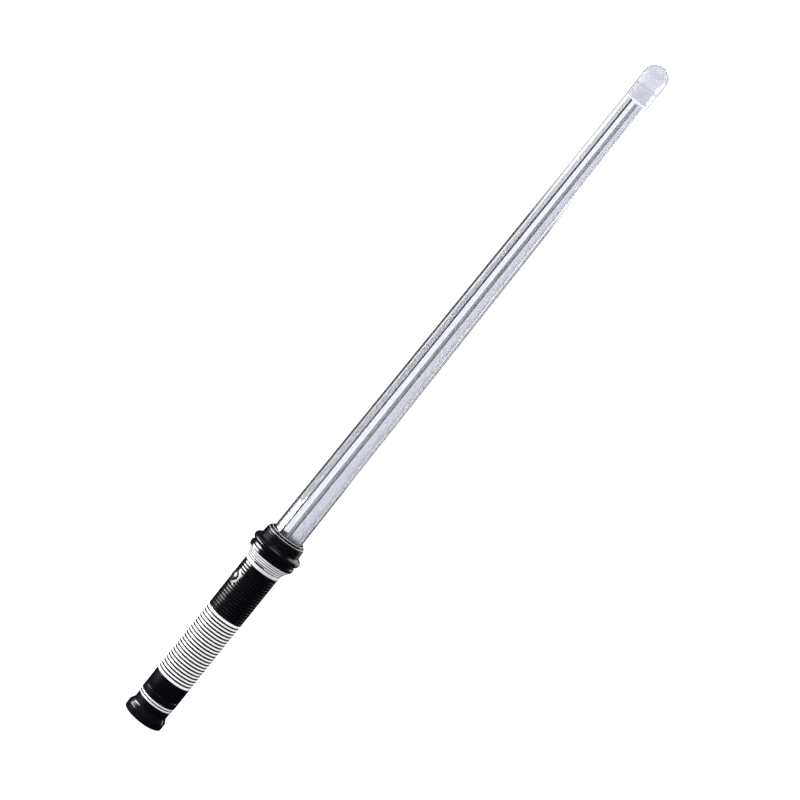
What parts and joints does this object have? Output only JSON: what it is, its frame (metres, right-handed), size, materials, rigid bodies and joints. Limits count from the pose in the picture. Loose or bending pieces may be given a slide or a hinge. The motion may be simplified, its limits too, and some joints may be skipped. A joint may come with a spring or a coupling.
{
  "type": "light-up toy sword",
  "caption": "Light-up toy sword: round battery handle with ribbed grip, push button and flared emitter, and a long tapering translucent blade with a domed tip.",
  "frame": {"origin": "centre of the pommel cap's flat end, on the handle's axis", "axes": "+Z along the blade to its tip; the power button faces -Y"},
  "size_m": [0.0494, 0.0494, 0.7418],
  "materials": {
    "black_plastic": "moulded, glossy, with fine moulding texture",
    "silver_grip": "silver-white painted, satin",
    "bright_trim": "silver painted, glossy",
    "mirror_coat": "bright vacuum coat",
    "clear_tube": "clear with a faint lavender tint",
    "frosted_tube": "frosted, translucent",
    "frosted_cap": "translucent, milky",
    "core_plastic": "moulded",
    "inner_plastic": "moulded, undyed",
    "board": "green solder mask",
    "lamp": "water-clear epoxy",
    "contact_metal": "stamped sheet",
    "steel": "bright wire and zinc-plated screws",
    "cell_wrap": "plain dark printed wrap",
    "red_wire": "insulated lead",
    "black_wire": "insulated lead"
  },
  "bodies": {
    "handle": {"battery_sleeve": "inner_plastic", "battery_wire_negative": "black_wire", "battery_wire_positive": "red_wire", "blade_base_ring": "inner_plastic", "blade_socket": "core_plastic", "blade_tube": "clear_tube", "board_screw_lower": "steel", "board_screw_upper": "steel", "centre_contact": "contact_metal", "chassis": "inner_plastic", "collar": "bright_trim", "contact_bulkhead": "inner_plastic", "core_tube": "core_plastic", "diffuser_tube": "frosted_tube", "emitter_shroud": "black_plastic", "front_bezel": "black_plastic", "lamp_1": "lamp", "lamp_2": "lamp", "lamp_3": "lamp", "lamp_board": "board", "lamp_carrier": "inner_plastic", "lamp_wire_negative": "black_wire", "lamp_wire_positive": "red_wire", "lower_band": "black_plastic", "reflector": "mirror_coat", "ribbed_grip": "silver_grip", "ring_contact": "contact_metal", "socket_screw_left": "steel", "socket_screw_right": "steel", "switch_board": "board", "switch_body": "core_plastic", "tip_cap": "frosted_cap", "trim_ring": "bright_trim", "upper_grip": "black_plastic"},
    "button": {"power_button": "black_plastic", "switch_stem": "inner_plastic"},
    "cartridge": {"cartridge_frame": "core_plastic", "cell_1": "cell_wrap", "cell_2": "cell_wrap", "cell_3": "cell_wrap", "cell_spring_1": "steel", "cell_spring_2": "steel", "cell_spring_3": "steel", "centre_terminal": "contact_metal", "ring_terminal": "contact_metal"},
    "pommel": {"pommel_cap": "black_plastic", "pommel_spring": "steel"}
  },
  "joints": [
    {"name": "power_button_press", "type": "slide", "parent": "handle", "child": "button", "axis": [0, 1, 0], "range_m": [0, 0.0012], "stiffness_N_per_m": 800, "springref_m": -0.0006},
    {"name": "cartridge_draw", "type": "slide", "parent": "handle", "child": "cartridge", "axis": [0, 0, -1], "range_m": [0, 0.056]},
    {"name": "pommel_turn", "type": "hinge", "parent": "cartridge", "child": "pommel", "pos_m": [0, 0, 0], "axis": [0, 0, 1], "range_deg": [0, 40]}
  ]
}
